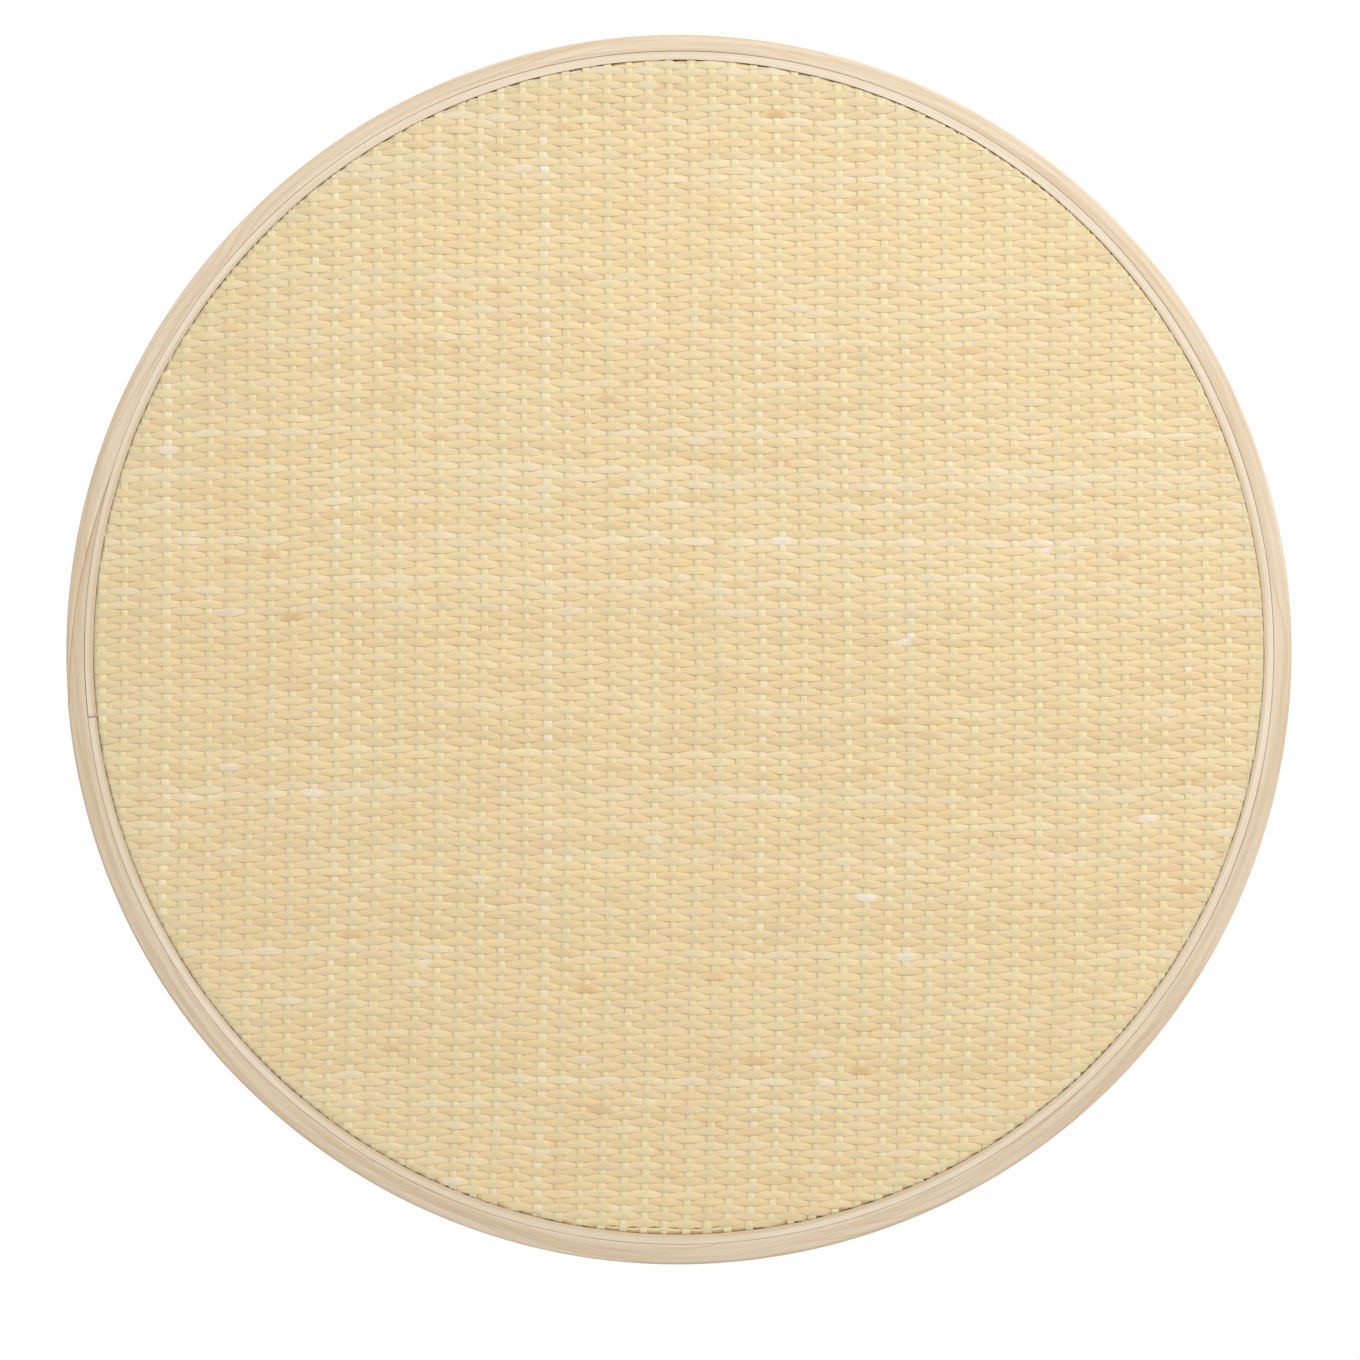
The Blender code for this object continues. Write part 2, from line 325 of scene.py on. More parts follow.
def bent_wood(name, dark, pale, line_colour, line_spacing, roughness, line_strength):
    """Planed pale wood with growth lines that wander out of the strip at a slant.

    The grain attribute holds the distance along the strip, across its thickness and up its side. A
    line is drawn wherever the depth in the plank, which wanders along the strip, meets a new ring.
    The band where the clamp hoop meets the mat is browned with painted shade for the crevice there, most at
    its edge; everything inside that edge, the inner hoop too, gets the full browning.
    """
    finish = Finish(name, roughness)
    along, across, height = finish.attribute("grain")
    slow = finish.noise(
        finish.vector(finish.math("MULTIPLY", along, 9.0), finish.math("MULTIPLY", height, 8.0), 0.0),
        detail=1.0,
    )
    quick = finish.noise(
        finish.vector(finish.math("MULTIPLY", along, 60.0), finish.math("MULTIPLY", across, 90.0), height),
        detail=2.0,
    )
    wander = finish.math("MULTIPLY", slow, 0.034)
    depth = finish.math("ADD", finish.math("ADD", across, wander), finish.math("MULTIPLY", height, 0.30))
    ring_number = finish.math(
        "ADD", finish.math("DIVIDE", depth, line_spacing), finish.math("MULTIPLY", quick, 0.22)
    )
    rings = finish.math("FRACT", ring_number)
    line = finish.ramp(rings, (0.0, 0.0), (0.62, 0.22), (0.88, 1.0), (0.97, 0.0))
    patches = finish.noise(
        finish.vector(finish.math("MULTIPLY", along, 14.0), finish.math("MULTIPLY", depth, 160.0), 3.0),
        detail=2.0,
    )
    shown = finish.math("MULTIPLY", line, finish.ramp(patches, (0.32, 0.0), (0.68, 1.0)))
    fibres = finish.noise(
        finish.vector(
            finish.math("MULTIPLY", along, 45.0),
            finish.math("MULTIPLY", across, 1800.0),
            finish.math("MULTIPLY", height, 1800.0),
        ),
        detail=3.0, roughness=0.6,
    )
    clouds = finish.noise(
        finish.vector(
            finish.math("MULTIPLY", along, 9.0),
            finish.math("MULTIPLY", across, 420.0),
            finish.math("MULTIPLY", height, 90.0),
        ),
        detail=2.0,
    )
    wood = finish.blend(finish.ramp(clouds, (0.30, 0.0), (0.70, 1.0)), dark, pale)
    ringed = finish.blend(finish.math("MULTIPLY", shown, line_strength), wood, line_colour)
    streaks = finish.ramp(fibres, (0.28, 0.90), (0.55, 1.0))
    # Painted shade: browner towards the mat's edge, where the crevice between clamp hoop and mat is shaded,
    # and at full strength inside that edge.
    into_crevice = finish.math("DIVIDE", finish.math("ADD", across, CREVICE_DEPTH), CREVICE_SHADE_REACH)
    crevice_shade = finish.ramp(into_crevice, (0.0, 0.45), (1.0, 0.0))
    with_crevice_shade = finish.blend(crevice_shade, ringed, (0.62, 0.43, 0.22))
    finish.colour(finish.blend(0.7, with_crevice_shade, streaks, "MULTIPLY"))
    finish.bump(fibres, 0.00005, 0.5)
    finish.let_light_in(0.35, 0.0008)
    return finish.material


def peg_bamboo():
    """Cut bamboo end grain: warm, with darker vessel dots."""
    finish = Finish("peg_bamboo", 0.6)
    place = finish.node("ShaderNodeTexCoord").outputs["Object"]
    dots = finish.node("ShaderNodeTexVoronoi", Vector=place, Scale=2600.0).outputs["Distance"]
    spots = finish.ramp(dots, (0.12, 0.35), (0.42, 1.0))
    clouds = finish.noise(place, 400.0)
    wood = finish.blend(clouds, (0.50, 0.34, 0.16), (0.68, 0.50, 0.28))
    finish.colour(finish.blend(0.6, wood, spots, "MULTIPLY"))
    finish.bump(dots, 0.00008, 0.4)
    return finish.material


# ---------------------------------------------------------------------------------------------------
# The woven mat
# ---------------------------------------------------------------------------------------------------
def dish_meridian():
    """The mat's middle surface from its centre to its trimmed top edge, as a table by distance along it.

    The belly is flat, then rises ever more steeply. A quarter circle turns it up, and a straight
    wall follows. Gives the distances, the radii, the heights, the two parts of the normal that points
    out of the basket, and the radius where the bend starts.
    """
    low = MAT_LOW + MAT_DEPTH / 2 + LOW_CLEARANCE
    rim_low = HOOP_LOW + MAT_RECESS + MAT_DEPTH * WALL_PRESS / 2
    wall = MAT_EDGE - MAT_DEPTH * WALL_PRESS / 2
    flat_end = wall - BEND_RADIUS
    radius = np.linspace(0.0, flat_end, 240)
    share = np.clip((radius - BELLY_LAND) / (flat_end - BELLY_LAND), 0.0, 1.0)
    height = low + (rim_low - low) * share ** 2 * (2.0 - share)
    turn = np.linspace(-math.pi / 2, 0.0, 24)[1:]
    bend_radius = flat_end + BEND_RADIUS * np.cos(turn)
    bend_height = rim_low + BEND_RADIUS + BEND_RADIUS * np.sin(turn)
    up_height = np.linspace(bend_height[-1], MAT_TOP, 30)[1:]
    radius = np.concatenate([radius, bend_radius, np.full(len(up_height), wall)])
    height = np.concatenate([height, bend_height, up_height])
    run, rise = np.gradient(radius), np.gradient(height)
    steps = np.hypot(np.diff(radius), np.diff(height))
    distance = np.concatenate([[0.0], np.cumsum(steps)])
    size = np.hypot(run, rise)
    return distance, radius, height, rise / size, -run / size, flat_end


MERIDIAN = dish_meridian()
BEND_START = MERIDIAN[5]
TRIM_DISTANCE = MERIDIAN[0][-1]


def belly_ripple(across, along):
    """Soft unevenness of the belly, always inwards, that fades out towards the rim.

    It's a run of low folds along X, a broad swell and one crease.
    """
    folds = 0.5 + 0.5 * np.sin(FULL_TURN * (along - 0.062) / 0.137 + 1.3 * np.sin(9.0 * across))
    swell = 0.5 + 0.5 * np.sin(FULL_TURN * (across + 0.05) / 0.31 + 4.0 * along)
    crease = np.exp(-(((along - 0.0835) / 0.006) ** 2))
    fade = np.clip(1.0 - (np.hypot(across, along) / BEND_START) ** 4, 0.0, 1.0)
    return (FOLD_HEIGHT * folds + SWELL_HEIGHT * swell + CREASE_HEIGHT * crease) * fade


def lay_in_dish(across, along, lift):
    """Lays points of the flat mat into the dish.

    A point keeps its bearing from the centre. Its distance from the centre becomes the distance
    along the meridian, and its lift goes along the outward normal, less where the mat is gripped.
    """
    distance, radii, heights, normal_out, normal_up, _ = MERIDIAN
    away = np.hypot(across, along)
    safe = np.maximum(away, 1e-9)
    grip = np.clip((away - BEND_START) / PRESSED_REACH + 1, 0.0, 1.0)
    pressed = lift * (1 - (1 - WALL_PRESS) * grip)
    radius = np.interp(away, distance, radii) + pressed * np.interp(away, distance, normal_out)
    height = np.interp(away, distance, heights) + pressed * np.interp(away, distance, normal_up)
    radius = radius + rim_wander(np.arctan2(along, across)) * (radius / RIM_RADIUS) ** 2
    height = height + belly_ripple(across, along)
    return np.stack(
        [across / safe * radius + MAT_OFFSET[0], along / safe * radius + MAT_OFFSET[1], height], axis=-1
    )


STAKE_COUNT = int(TRIM_DISTANCE / STAKE_PITCH) + 1
WEAVER_COUNT = int(TRIM_DISTANCE / WEAVER_PITCH) + 1
spacing_rng = np.random.default_rng(11)
STAKE_NUMBERS = np.arange(-STAKE_COUNT, STAKE_COUNT + 1)
WEAVER_NUMBERS = np.arange(-WEAVER_COUNT, WEAVER_COUNT + 1)
STAKE_SHIFTS = spacing_rng.normal(0.0, STAKE_SPACING_ERROR, len(STAKE_NUMBERS))
WEAVER_SHIFTS = spacing_rng.normal(0.0, WEAVER_SPACING_ERROR, len(WEAVER_NUMBERS))
WEAVER_ROOM = 1 + 0.6 * np.gradient(WEAVER_SHIFTS) / WEAVER_PITCH


def weave_place(stake, weaver):
    """Where a crossing lies in the flat mat, from its stake and weaver numbers, whole or between.

    Both families are evenly spaced, apart from small chance shifts and a slow wander that neighbours
    share. The stakes lean: towards -X near the +Y edge, and again towards the corner at +X, -Y. The
    weavers bulge to -Y left of the centre and a little to +Y right of it. The last ones at the +Y
    edge stand apart over a short stretch.
    """
    x = STAKE_PITCH * stake + STAKE_START
    y = WEAVER_PITCH * weaver
    front = np.maximum(y - 0.020, 0.0) / 0.183
    back = np.maximum(-y, 0.0) / 0.203
    side = np.clip((x + 0.203) / 0.407, 0.0, 1.3)
    lean = -0.0039 * front ** 1.6 - 0.0057 * side ** 1.2 * back ** 0.9
    bulge = -0.0026 * np.exp(-(((x + 0.109) / 0.057) ** 2)) + 0.0008 * np.exp(-(((x - 0.11) / 0.08) ** 2))
    opening = 0.0009 * np.clip((y - 0.2336) / 0.0026, 0.0, 1.0) * np.exp(-((x / 0.028) ** 6))
    wander_x = (
        0.0003 * np.sin(FULL_TURN * (y / 0.052 + x / 0.19))
        + 0.0002 * np.sin(FULL_TURN * (y / 0.023 - x / 0.13))
    )
    wander_y = (
        0.0003 * np.sin(FULL_TURN * (x / 0.061 + y / 0.23) + 1.0)
        + 0.0002 * np.sin(FULL_TURN * (x / 0.027 - y / 0.11))
    )
    shift_x = np.interp(stake, STAKE_NUMBERS, STAKE_SHIFTS)
    shift_y = np.interp(weaver, WEAVER_NUMBERS, WEAVER_SHIFTS)
    return x + lean + wander_x + shift_x, y + bulge + opening + wander_y + shift_y


# A splint's section, from -1 to 1: its outer face is flat and eased off to thin edges in two steps.
SECTION_ACROSS = np.array([1.0, 0.91, 0.72, -0.72, -0.91, -1.0, -0.85, 0.85])
SECTION_DEPTH = np.array([-0.8, 0.3, 1.0, 1.0, 0.3, -0.8, -1.0, -1.0])


def sample_numbers(limit, fine, coarse, place):
    """Crossing numbers along one splint: closely spaced in the belly and sparse in the turned-up wall.

    It runs from trimmed end to trimmed end, and is empty where the splint misses the mat.
    """
    numbers = np.arange(-limit * fine, limit * fine + 1) / fine
    away = np.hypot(*place(numbers))
    inside = np.flatnonzero(away < TRIM_DISTANCE)
    if len(inside) < 4 or inside[0] == 0 or inside[-1] == len(numbers) - 1:
        return numbers[:0]
    low = slice(inside[0] - 1, inside[0] + 1)
    high = slice(inside[-1], inside[-1] + 2)
    first = np.interp(-TRIM_DISTANCE, -away[low], numbers[low])
    last = np.interp(TRIM_DISTANCE, away[high], numbers[high])
    skip = fine // coarse
    kept = (away[inside] < BEND_START + FINE_WALL) | (inside % skip == 0)
    return np.concatenate([[first], numbers[inside][kept], [last]])


def splint_rows(along_path, centre_x, centre_y, lift, breadth, depth, roll, sideways):
    """Sweeps the section along a path over the flat mat and lays it in the dish.

    sideways is 0 for a splint that runs along X and 1 for one that runs along Y.
    """
    offset = 0.5 * breadth[:, None] * SECTION_ACROSS[None, :]
    rise = lift[:, None] + 0.5 * depth * SECTION_DEPTH[None, :] + roll[:, None] * offset
    x = centre_x[:, None] + offset * sideways
    y = centre_y[:, None] - offset * (1 - sideways)
    points = lay_in_dish(x, y, rise)
    grain = np.stack([np.broadcast_to(along_path[:, None], offset.shape), offset], axis=-1)
    return points, grain


class SplintBundle:
    """Collects splints, and makes one piece of them."""

    def __init__(self):
        self.points, self.grain, self.tone, self.quads, self.count = [], [], [], [], 0

    def add(self, points, grain, tone, own):
        """Adds one splint: its rows of points, and its lightness, paleness and warmth along it."""
        length, around = points.shape[:2]
        self.quads.append(tube_quads(length, around) + self.count)
        self.count += length * around
        own_column = np.full((length, around, 1), own)
        self.points.append(points.reshape(-1, 3))
        self.grain.append(np.concatenate([grain, own_column], axis=-1).reshape(-1, 3))
        self.tone.append(np.repeat(tone, around, axis=0))

    def piece(self, name, material):
        """Makes the bundle into one shown piece."""
        attributes = {"grain": np.concatenate(self.grain), "tone": np.concatenate(self.tone)}
        points, quads = np.concatenate(self.points), np.concatenate(self.quads)
        mesh_piece(name, points, quads, material, attributes, "woven_mat")


def splint_tone(rng, numbers, metres, lightness, pale_chance, speck_chance, warm_chance):
    """Lightness, paleness and warmth along one splint.

    A splint has a level of its own, drifts slowly along its length, and now and then shows one
    float that is bleached, pinkish or stained.
    """
    whole = np.arange(math.floor(numbers[0]) - 1, math.ceil(numbers[-1]) + 2)
    light = lightness + rng.normal(0.0, 0.012) + waves(rng, metres, (0.11, 0.047, 0.023), 0.010)
    light = light + np.interp(numbers, whole, rng.normal(0.0, 0.010, len(whole)))
    level = rng.uniform(0.2, 0.45) if rng.random() < pale_chance else rng.uniform(0.0, 0.14)
    pale = level * np.clip(0.55 + waves(rng, metres, (0.19, 0.071, 0.034), 0.55), 0.0, 1.0)
    specks = np.where(rng.random(len(whole)) < speck_chance, rng.uniform(0.2, 0.75, len(whole)), 0.0)
    stains = np.where(rng.random(len(whole)) < warm_chance, rng.uniform(0.2, 0.6, len(whole)), 0.0)
    near = np.clip(np.rint(numbers).astype(int) - whole[0], 0, len(whole) - 1)
    fade = np.clip(1.3 - 1.6 * np.abs(numbers - np.rint(numbers)), 0.0, 1.0)
    pale = np.clip(pale + specks[near] * fade, 0.0, 1.0)
    warm = np.clip(stains[near] * fade + 0.12 * np.clip(waves(rng, metres, (0.23, 0.09), 1.0), 0, 1), 0, 1)
    return np.stack([np.clip(light, 0.6, 1.18), pale, warm], axis=-1)


def marks_on(marks, along, across, reach, half_breadth):
    """Strength of a few chosen marks along a splint, each given as its place and its strength."""
    total = np.zeros_like(along)
    for mark_along, mark_across, strength in marks:
        near = np.exp(-(((along - mark_along) / reach) ** 6))
        total = np.maximum(total, strength * near * (np.abs(across - mark_across) < half_breadth))
    return total


def raise_to(values, least):
    """Lifts values to at least the given ones, in place."""
    np.maximum(values, least, out=values)


def piece_index(number, count, split):
    """Which piece of the weave a splint goes into, from its number, which runs from -count to count."""
    place = (number + count) / (2 * count + 1)
    return min(int(np.searchsorted(split, place, side="right")) - 1, len(split) - 2)


def make_weavers(material):
    """The narrow weavers, which run along X and pass over one stake and under the next.

    A weaver's lift is a flattened cosine of the stake number, of the opposite sign on its neighbours.
    It is broadest over and under the stakes, and a little pinched where it changes sides.
    """
    swing = (STAKE_DEPTH + WEAVER_DEPTH) / 2 - STAKE_SWING
    bundles = [SplintBundle() for _ in WEAVER_SPLIT[1:]]
    for weaver in WEAVER_NUMBERS:
        rng = np.random.default_rng(1000 + int(weaver))
        numbers = sample_numbers(STAKE_COUNT + 1, 8, 2, lambda n: weave_place(n, float(weaver)))
        if not len(numbers):
            continue
        x, y = weave_place(numbers, float(weaver))
        y = y + waves(rng, x, (0.16, 0.06, 0.029), 0.00005)
        side = 1.0 if weaver % 2 == 0 else -1.0
        bow = np.cos(math.pi * numbers)
        lift = side * swing * (1.22 * bow - 0.22 * bow ** 3)
        whole = np.arange(-STAKE_COUNT - 2, STAKE_COUNT + 3)
        room = WEAVER_ROOM[weaver + WEAVER_COUNT] * (1 + abs(rng.normal(0.0, 0.025)))
        breadth = WEAVER_BREADTH * room * (1 - WEAVER_PINCH * (1 - np.abs(bow)))
        breadth = breadth * (1 + np.interp(numbers, whole, rng.normal(0.0, 0.02, len(whole))))
        roll = np.interp(numbers, whole, rng.normal(0.0, 0.05, len(whole)))
        points, grain = splint_rows(x + rng.uniform(0, 9), x, y, lift, breadth, WEAVER_DEPTH, roll, 0)
        tone = splint_tone(rng, numbers, x, 1.0, 0.15, 0.006, 0.010)
        half = WEAVER_PITCH / 2
        raise_to(tone[:, 1], marks_on(PALE_FLOATS, x, y, PALE_FLOAT_REACH, half))
        raise_to(tone[:, 1], marks_on(PALE_WEAVERS, x, y, PALE_WEAVER_REACH, half))
        raise_to(tone[:, 2], marks_on(WARM_FLOATS, x, y, WARM_FLOAT_REACH, half))
        bundle = bundles[piece_index(weaver, WEAVER_COUNT, WEAVER_SPLIT)]
        bundle.add(points, grain, tone, rng.uniform(0, 90))
    for index, bundle in enumerate(bundles, 1):
        bundle.piece(f"weavers_{index:02d}", material)


def make_stakes(material):
    """The broad stakes, which run along Y and hardly bend: each weaver presses them a little aside."""
    bundles = [SplintBundle() for _ in STAKE_SPLIT[1:]]
    for stake in STAKE_NUMBERS:
        rng = np.random.default_rng(5000 + int(stake))
        numbers = sample_numbers(WEAVER_COUNT + 1, 4, 1, lambda n: weave_place(float(stake), n))
        if not len(numbers):
            continue
        x, y = weave_place(float(stake), numbers)
        x = x + waves(rng, y, (0.21, 0.083), 0.00012)
        side = 1.0 if stake % 2 == 0 else -1.0
        lift = -side * STAKE_SWING * np.cos(math.pi * numbers)
        breadth = STAKE_BREADTH * rng.normal(1.0, 0.08) * (1 + waves(rng, y, (0.17, 0.06, 0.013), 0.05))
        roll = waves(rng, y, (0.12, 0.04), 0.02)
        points, grain = splint_rows(y + rng.uniform(0, 9), x, y, lift, breadth, STAKE_DEPTH, roll, 1)
        # Painted light: the stakes are made lighter than the weavers, to make up for the shade of their
        # recess between the floats.
        tone = splint_tone(rng, numbers, y, 1.10 + rng.normal(0.0, 0.02), 0.12, 0.002, 0.004)
        raise_to(tone[:, 2], marks_on(WARM_STAKES, y, x, WARM_STAKE_REACH, STAKE_PITCH / 2))
        bundle = bundles[piece_index(stake, STAKE_COUNT, STAKE_SPLIT)]
        bundle.add(points, grain, tone, rng.uniform(0, 90))
    for index, bundle in enumerate(bundles, 1):
        bundle.piece(f"stakes_{index:02d}", material)


# ---------------------------------------------------------------------------------------------------
# The hoops
# ---------------------------------------------------------------------------------------------------
def strip_section(half_thickness, half_height, roundings, flat_steps):
    """Outline of a strip's section in units of its half sides, anticlockwise from the outside top.

    roundings are the radii, in metres, of the corners outside top, inside top, inside bottom and
    outside bottom. Each is a quarter circle. The points on the flats crowd towards the corners.
    """
    quarter = np.linspace(0.0, math.pi / 2, 5)
    sides = ((1, 1), (-1, 1), (-1, -1), (1, -1))
    corners = []
    for index, ((sx, sz), radius) in enumerate(zip(sides, roundings)):
        turn = quarter + index * math.pi / 2
        x = sx * (half_thickness - radius) + radius * np.cos(turn)
        z = sz * (half_height - radius) + radius * np.sin(turn)
        corners.append(np.stack([x, z], axis=-1))
    run = 0.5 - 0.5 * np.cos(np.linspace(0.0, math.pi, flat_steps + 2)[1:-1, None])
    pieces = []
    for index, corner in enumerate(corners):
        after = corners[(index + 1) % 4][0]
        pieces += [corner, corner[-1] + (after - corner[-1]) * run]
    return np.concatenate(pieces) / (half_thickness, half_height)


def hoop_strip(name, turns, inner, outer, low, high, section, material, node):
    """Carries a strip's section round the rim.

    turns is the bearing of each step, and inner, outer, low and high give the strip's faces there.
    inner and outer are distances from the basket's own axis, with the hoop's offset worked in.
    """
    x = section[None, :, 0]
    z = section[None, :, 1]
    middle, half = (inner + outer) / 2, (outer - inner) / 2
    radius = middle[:, None] + half[:, None] * x
    height = ((low + high) / 2)[:, None] + ((high - low) / 2)[:, None] * z
    points = np.stack(
        [radius * np.cos(turns)[:, None], radius * np.sin(turns)[:, None], height], axis=-1
    )
    along = np.broadcast_to((turns * RIM_RADIUS)[:, None], radius.shape)
    grain = np.stack([along, radius - RIM_RADIUS, height], axis=-1).reshape(-1, 3)
    length, around = radius.shape
    quads = tube_quads(length, around)[:, ::-1]
    mesh_piece(name, points.reshape(-1, 3), quads, material, {"grain": grain}, node)


def offset_circle(turns, radius, offset):
    """Distance from the axis to the rim's wandering circle, its centre moved by a small offset."""
    return radius + rim_wander(turns) + offset[0] * np.cos(turns) + offset[1] * np.sin(turns)


def scarfed(turns, scarf, inner, outer):
    """A strip's faces where its ends lie over each other in a long slant.

    The strip starts as a feather edge at its outer face and thickens inwards over the scarf. Its
    other end thins from the outside, a fine gap away from the first.
    """
    start, end = scarf
    share = np.clip((turns - start) / (end - start), 0.0, 1.0)
    last = np.clip((turns - start - FULL_TURN) / (end - start), 0.0, 1.0)
    first_inner = outer - SCARF_FEATHER - (outer - SCARF_FEATHER - inner) * share
    last_thinning = (outer - inner - SCARF_GAP - 2 * SCARF_FEATHER) * last
    last_outer = outer - SCARF_GAP - SCARF_FEATHER - last_thinning
    on_last = turns > start + FULL_TURN
    return np.where(share < 1.0, first_inner, inner), np.where(on_last, last_outer, outer)


def make_outer_hoop(material):
    """The thick outer hoop: a strip between the rim's circle and the clamp hoop's, with a long scarf.

    Its lower edge slopes up a little towards the outside. The scarf's feather edge lies a little below
    the face beside it, and that step fades away round the rim.
    """
    rng = np.random.default_rng(77)
    turns = np.linspace(OUTER_SCARF[0], OUTER_SCARF[1] + FULL_TURN, 1000)
    end_step = 0.00026 * np.exp(-np.maximum(turns - OUTER_SCARF[0], 0.0) / math.radians(24))
    outer = offset_circle(turns, RIM_MEAN, RIM_OFFSET) + 0.00006 * np.sin(7 * turns + 2.1) - end_step
    inner = offset_circle(turns, HOOP_BORE, CLAMP_OFFSET)
    inner, outer = scarfed(turns, OUTER_SCARF, inner, outer)
    low = HOOP_LOW + 0.00006 * (1 + np.sin(5 * turns))
    high = np.full_like(turns, RIM_TOP - 0.0001) - 0.00010 * (1 + np.sin(4 * turns + rng.uniform(0, 6)))
    section = strip_section(0.0035, HOOP_HEIGHT / 2, (0.0008, 0.0007, 0.00015, 0.0009), 8)
    below = np.clip(-section[:, 1] * 6 - 5, 0.0, 1.0)
    section[:, 1] += 0.055 * below * ((section[:, 0] + 1) / 2) ** 1.4
    hoop_strip(
        "outer_hoop_strip", turns, inner, outer, low, high, section, material, "outer_hoop"
    )


def make_clamp_hoop(material):
    """The narrow rounded hoop that grips the mat, its square ends meeting a little out of line.

    It fills the room between the outer hoop and the mat's edge. Its lip reaches in over the mat's bend,
    and dies away with the height above its lower edge.
    """
    half_gap = BUTT_GAP / 2 / CLAMP_OUTSIDE
    turns = np.linspace(CLAMP_BUTT + half_gap, CLAMP_BUTT + FULL_TURN - half_gap, 960)
    near_start = np.exp(-((turns - turns[0]) / math.radians(9)) ** 2)
    near_end = np.exp(-((turns - turns[-1]) / math.radians(9)) ** 2)
    outer = offset_circle(turns, HOOP_BORE - FINE_GAP, CLAMP_OFFSET) - BUTT_STEP * near_start
    wave = 0.00004 * (1 + np.sin(29 * turns) * np.sin(4 * turns + 1.0))
    wave = wave + 0.00003 * (1 + np.sin(47 * turns))
    inner = offset_circle(turns, MAT_EDGE + FINE_GAP, MAT_OFFSET) + wave + BUTT_STEP * near_end
    low = HOOP_LOW + 0.00015 + 0.00008 * np.sin(3 * turns + 1.0)
    high = np.full_like(turns, RIM_TOP - 0.0004)
    roundings = (0.0010, 0.0010, 0.0003, 0.0006)
    section = strip_section(CLAMP_HALF_THICKNESS, HOOP_HEIGHT / 2, roundings, 10)
    above = (section[:, 1] + 1) * HOOP_HEIGHT / 2
    lip = CLAMP_LIP / CLAMP_HALF_THICKNESS * np.exp(-above / CLAMP_LIP_HEIGHT)
    section[:, 0] -= (section[:, 0] < 0) * lip
    hoop_strip(
        "clamp_hoop_strip", turns, inner, outer, low, high, section, material, "clamp_hoop"
    )


def make_inner_hoop(material):
    """The hoop inside the tray that the mat's turned-up edge is pressed against, closed by a scarf.

    Its outer face keeps a fine gap from the mat's wall, and its inner face is its thickness further in.
    """
    turns = np.linspace(INNER_SCARF[0], INNER_SCARF[1] + FULL_TURN, 900)
    outer = offset_circle(turns, MAT_EDGE - MAT_DEPTH * WALL_PRESS - 0.0002, MAT_OFFSET)
    inner = outer - INNER_HOOP_THICKNESS + 0.0001 * np.sin(5 * turns)
    inner, outer = scarfed(turns, INNER_SCARF, inner, outer)
    low = INNER_LOW + 0.0001 * (1 + np.sin(4 * turns))
    high = np.full_like(turns, RIM_TOP - 0.0003) - 0.0001 * (1 + np.sin(3 * turns))
    section = strip_section(
        INNER_HOOP_THICKNESS / 2, HOOP_HEIGHT / 2, (0.0009, 0.0010, 0.0008, 0.0006), 8
    )
    hoop_strip(
        "inner_hoop_strip", turns, inner, outer, low, high, section, material, "inner_hoop"
    )


def make_pegs(material):
    """Each peg as a rod with domed, slightly chewed ends that stand a hair proud of both hoops."""
    rng = np.random.default_rng(31)
    for node in sorted(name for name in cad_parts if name.startswith("hoop_peg_")):
        low, high = (np.array(corner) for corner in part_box(node))
        centre = (low + high) / 2
        bearing = math.atan2(centre[1], centre[0])
        spoke = np.array([math.cos(bearing), math.sin(bearing), 0.0])
        side = np.array([-spoke[1], spoke[0], 0.0])
        thick = (high[2] - low[2]) / 2
        strip_inside = MAT_EDGE - MAT_DEPTH * WALL_PRESS - INNER_HOOP_THICKNESS
        ends = np.array([
            offset_circle(bearing, strip_inside, MAT_OFFSET) - 0.0004,
            offset_circle(bearing, RIM_MEAN, RIM_OFFSET) + 0.0002,
        ])
        dome = np.array([0.0, 0.45, 0.8, 0.96, 1.0, 1.0, 0.96, 0.8, 0.45, 0.0]) * thick
        reach = np.array([0.0, 0.05, 0.12, 0.22, 0.42]) * 0.001
        radial = np.concatenate([ends[0] + reach, ends[1] - reach[::-1]])
        turn = np.linspace(0, FULL_TURN, 24, endpoint=False)
        chew = 1 + 0.04 * np.sin(3 * turn + rng.uniform(0, 6)) + 0.03 * np.sin(5 * turn + rng.uniform(0, 6))
        breadth = np.maximum(dome, 1e-5)[:, None] * chew[None, :]
        points = (
            radial[:, None, None] * spoke
            + (breadth * np.cos(turn))[..., None] * side
            + (breadth * np.sin(turn))[..., None] * np.array([0.0, 0.0, 1.0])
            + np.array([0.0, 0.0, centre[2]])
        )
        quads = tube_quads(len(radial), len(turn))
        mesh_piece(f"{node}_rod", points.reshape(-1, 3), quads, material, {}, node)


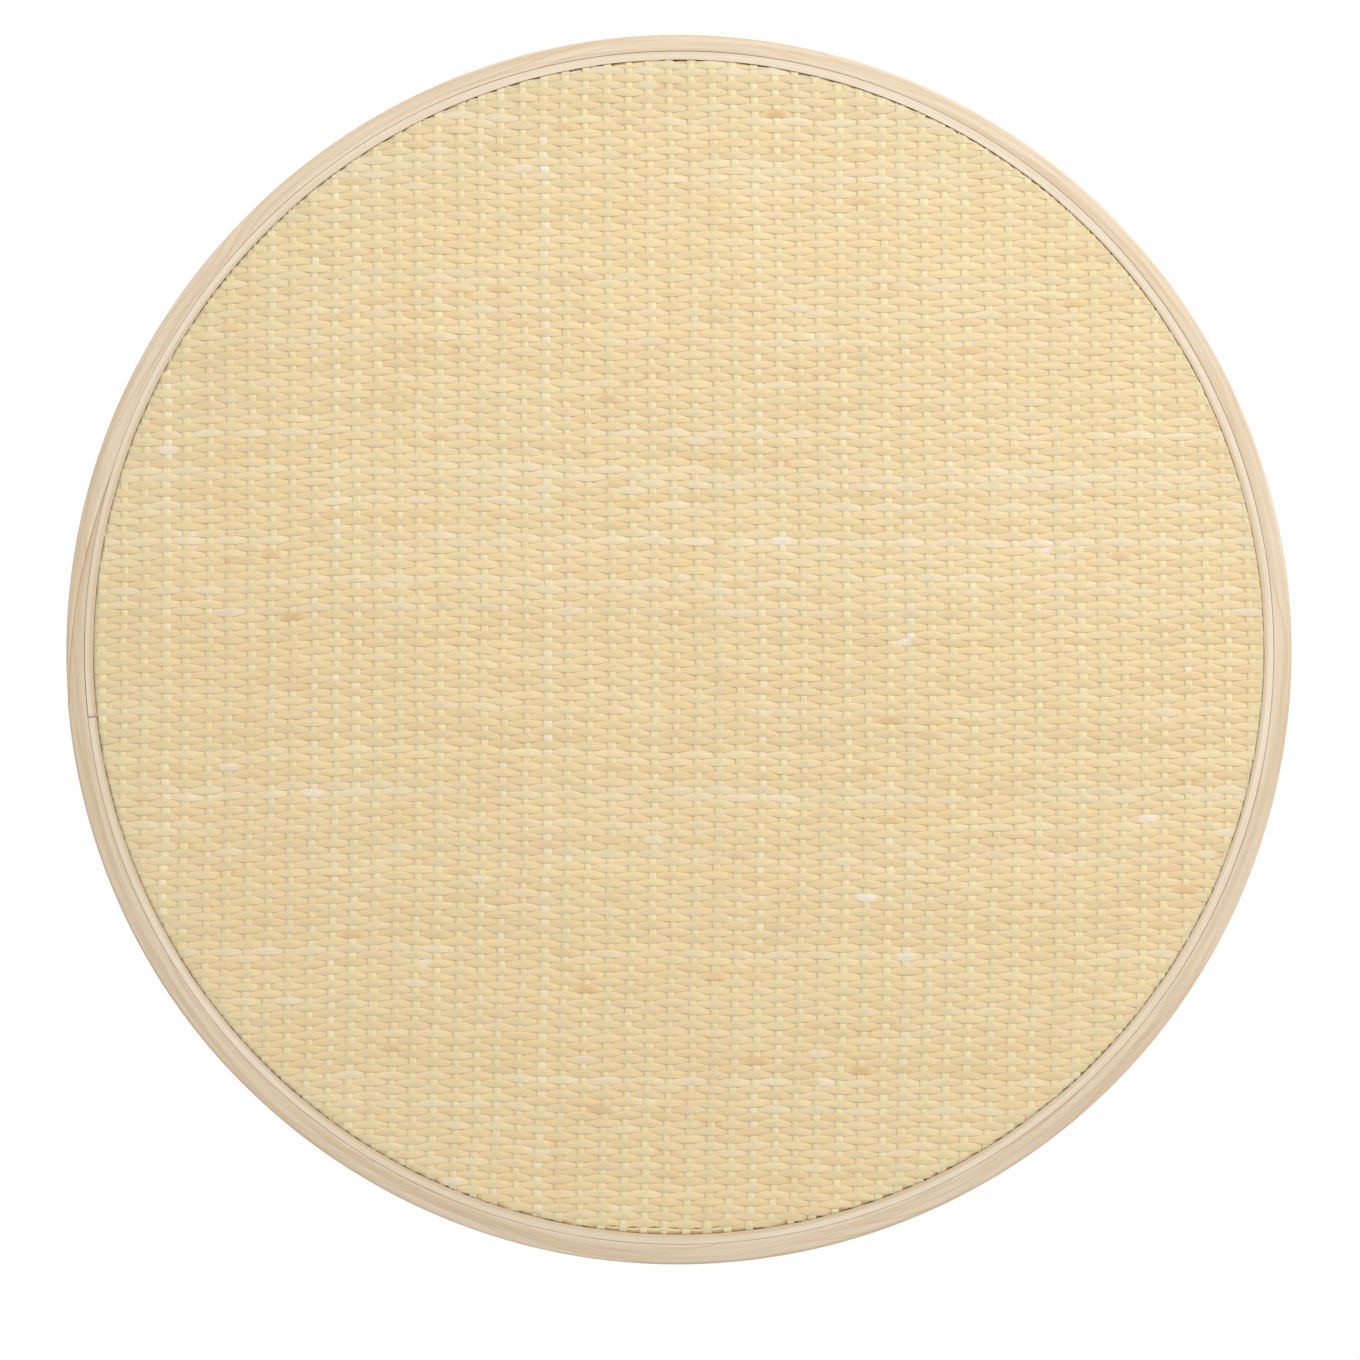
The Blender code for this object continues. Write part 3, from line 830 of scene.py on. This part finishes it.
# ---------------------------------------------------------------------------------------------------
# The stage
# ---------------------------------------------------------------------------------------------------
def make_floor():
    """A pale floor that is seen and shaded from above only, so that the underside can be seen too."""
    mesh = bpy.data.meshes.new("floor")
    corners = [(-1.0, -1.0), (1.0, -1.0), (1.0, 1.0), (-1.0, 1.0)]
    mesh.from_pydata([(x * FLOOR_REACH, y * FLOOR_REACH, 0.0) for x, y in corners], [], [(0, 1, 2, 3)])
    material = bpy.data.materials.new("floor")
    material.use_nodes = True
    tree = material.node_tree
    shader = tree.nodes["Principled BSDF"]
    shader.inputs["Base Color"].default_value = (0.84, 0.83, 0.81, 1.0)
    shader.inputs["Roughness"].default_value = 0.8
    clear = tree.nodes.new("ShaderNodeBsdfTransparent")
    side = tree.nodes.new("ShaderNodeNewGeometry")
    either = tree.nodes.new("ShaderNodeMixShader")
    tree.links.new(side.outputs["Backfacing"], either.inputs[0])
    tree.links.new(shader.outputs[0], either.inputs[1])
    tree.links.new(clear.outputs[0], either.inputs[2])
    tree.links.new(either.outputs[0], tree.nodes["Material Output"].inputs["Surface"])
    mesh.materials.append(material)
    floor = bpy.data.objects.new("floor", mesh)
    floor.location = (0.0, 0.0, MAT_LOW - FLOOR_DROP)
    bpy.context.scene.collection.objects.link(floor)
    floor.visible_shadow = False
    floor.visible_diffuse = False
    floor.visible_glossy = False


def make_world():
    """An even white surround, which gives less light than it shows to the camera."""
    world = bpy.data.worlds.new("studio")
    world.use_nodes = True
    tree = world.node_tree
    background = tree.nodes["Background"]
    background.inputs["Color"].default_value = (1.0, 1.0, 1.0, 1.0)
    seen = tree.nodes.new("ShaderNodeLightPath").outputs["Is Camera Ray"]
    strength = tree.nodes.new("ShaderNodeMapRange")
    strength.inputs["To Min"].default_value = WORLD_LIGHT
    strength.inputs["To Max"].default_value = 1.0
    tree.links.new(seen, strength.inputs["Value"])
    tree.links.new(strength.outputs["Result"], background.inputs["Strength"])
    bpy.context.scene.world = world


def make_light(name, place, size, power):
    """A large soft light that faces the basket."""
    lamp = bpy.data.lights.new(name, "AREA")
    lamp.shape = "DISK"
    lamp.size = size
    lamp.energy = power
    light = bpy.data.objects.new(name, lamp)
    light.location = place
    light.rotation_mode = "QUATERNION"
    bpy.context.scene.collection.objects.link(light)
    light.rotation_quaternion = light.location.to_track_quat("Z", "Y")
    light.visible_camera = False


def make_camera():
    """A long lens straight under the basket, a little off its axis."""
    camera_data = bpy.data.cameras.new("camera")
    camera_data.lens = LENS
    camera_data.sensor_width = FILM_WIDTH
    camera = bpy.data.objects.new("camera", camera_data)
    bpy.context.scene.collection.objects.link(camera)
    distance = FRAME_WIDTH / 2 / (camera_data.sensor_width / 2 / camera_data.lens)
    camera.location = (*FRAME_CENTRE, HOOP_LOW - distance)
    camera.rotation_euler = (math.pi, 0.0, 0.0)
    camera_data.clip_start = 0.01
    camera_data.clip_end = 50.0
    bpy.context.scene.camera = camera


def make_stage():
    """Floor, surround, lights and camera."""
    make_floor()
    make_world()
    for name, place, size, power in LIGHTS:
        make_light(name, place, size, power)
    make_camera()
    settings = bpy.context.scene.view_settings
    settings.view_transform = "Standard"
    settings.look = "None"


splints = splint_bamboo()
hoop_wood = bent_wood(
    "hoop_wood", (0.745, 0.595, 0.41), (0.855, 0.725, 0.55), (0.69, 0.46, 0.25), 0.0036, 0.55, 0.55
)
clamp_wood = bent_wood(
    "clamp_wood", (0.83, 0.70, 0.52), (0.91, 0.79, 0.63), (0.74, 0.55, 0.36), 0.0060, 0.45, 0.12
)
pegs = peg_bamboo()
make_weavers(splints)
make_stakes(splints)
make_outer_hoop(hoop_wood)
make_clamp_hoop(clamp_wood)
make_inner_hoop(hoop_wood)
make_pegs(pegs)
make_stage()
